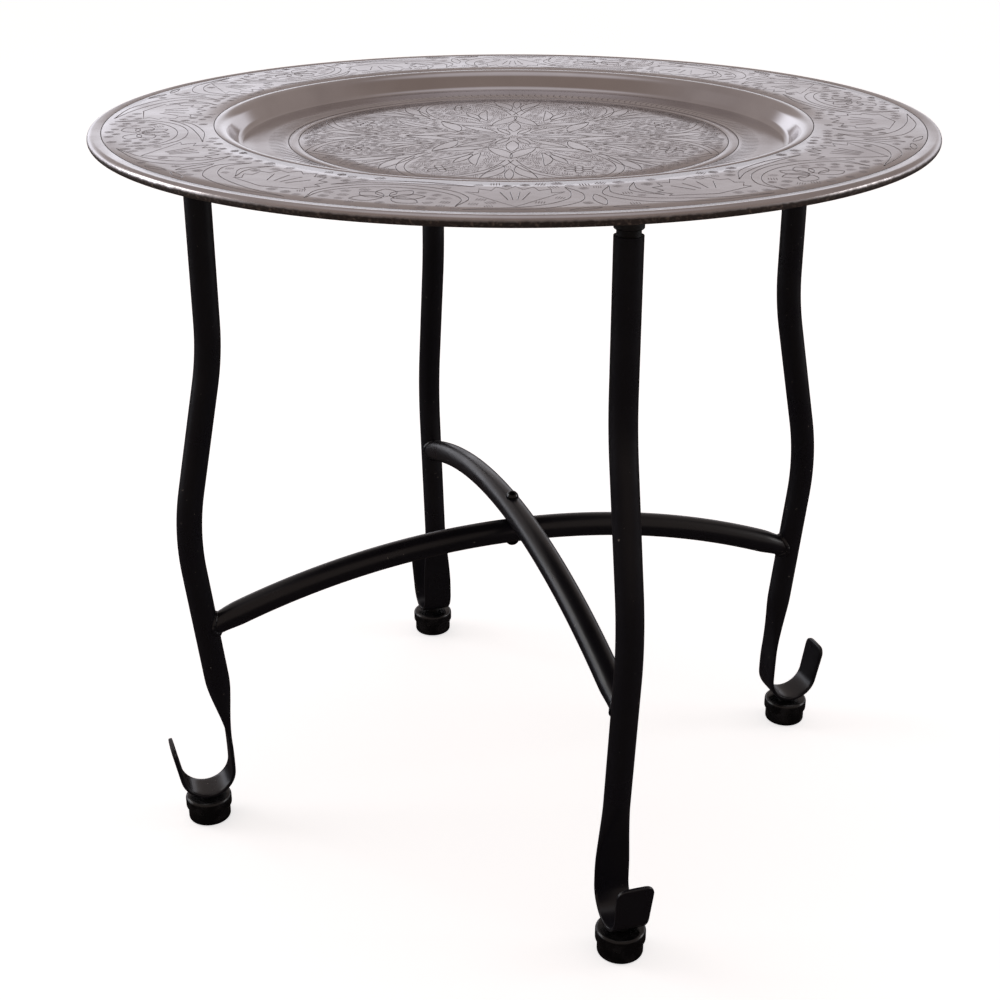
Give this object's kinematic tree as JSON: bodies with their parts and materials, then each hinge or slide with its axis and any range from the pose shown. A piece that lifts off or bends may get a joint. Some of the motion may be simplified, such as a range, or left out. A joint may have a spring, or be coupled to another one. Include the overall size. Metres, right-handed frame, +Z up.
{
  "type": "folding tray table",
  "caption": "Round engraved metal tray with a rolled rim and shallow well, resting loose on a folding stand of two crossed black tube frames with hooked, rubber-shod feet.",
  "frame": {"origin": "on the floor, under the pivot and the centre of the tray", "axes": "+Z up; +X towards the lower frame's right leg, +Y towards the upper frame's back leg"},
  "size_m": [0.5, 0.5, 0.456],
  "materials": {
    "tray_plate": "silver-toned plating over sheet brass, satin, punched and engraved by hand",
    "rim_wire": "plain drawn wire inside the rolled rim",
    "frame_black": "satin black powder coat over steel tube",
    "rivet_black": "gloss black over a steel rivet",
    "rest_rubber": "soft black rubber",
    "stud_steel": "black coated steel stud",
    "foot_rubber": "moulded black rubber, slightly shiny"
  },
  "bodies": {
    "lower_frame": {"leg_left": "frame_black", "leg_right": "frame_black", "lower_stretcher": "frame_black", "lower_welds": "frame_black", "rest_left": "rest_rubber", "rest_right": "rest_rubber", "foot_stud_left": "stud_steel", "foot_stud_right": "stud_steel", "foot_left": "foot_rubber", "foot_right": "foot_rubber"},
    "upper_frame": {"leg_front": "frame_black", "leg_back": "frame_black", "upper_stretcher": "frame_black", "upper_welds": "frame_black", "pivot_rivet": "rivet_black", "rest_front": "rest_rubber", "rest_back": "rest_rubber", "foot_stud_front": "stud_steel", "foot_stud_back": "stud_steel", "foot_front": "foot_rubber", "foot_back": "foot_rubber"},
    "tray": {"tray": "tray_plate", "rim_wire": "rim_wire"}
  },
  "joints": [
    {"name": "stand_fold", "type": "hinge", "parent": "lower_frame", "child": "upper_frame", "pos_m": [0, 0, 0.191], "axis": [0, 0, 1], "range_deg": [-81, 81]},
    {"name": "tray_lift", "type": "slide", "parent": "lower_frame", "child": "tray", "axis": [0, 0, 1], "range_m": [0, 0.15]}
  ]
}
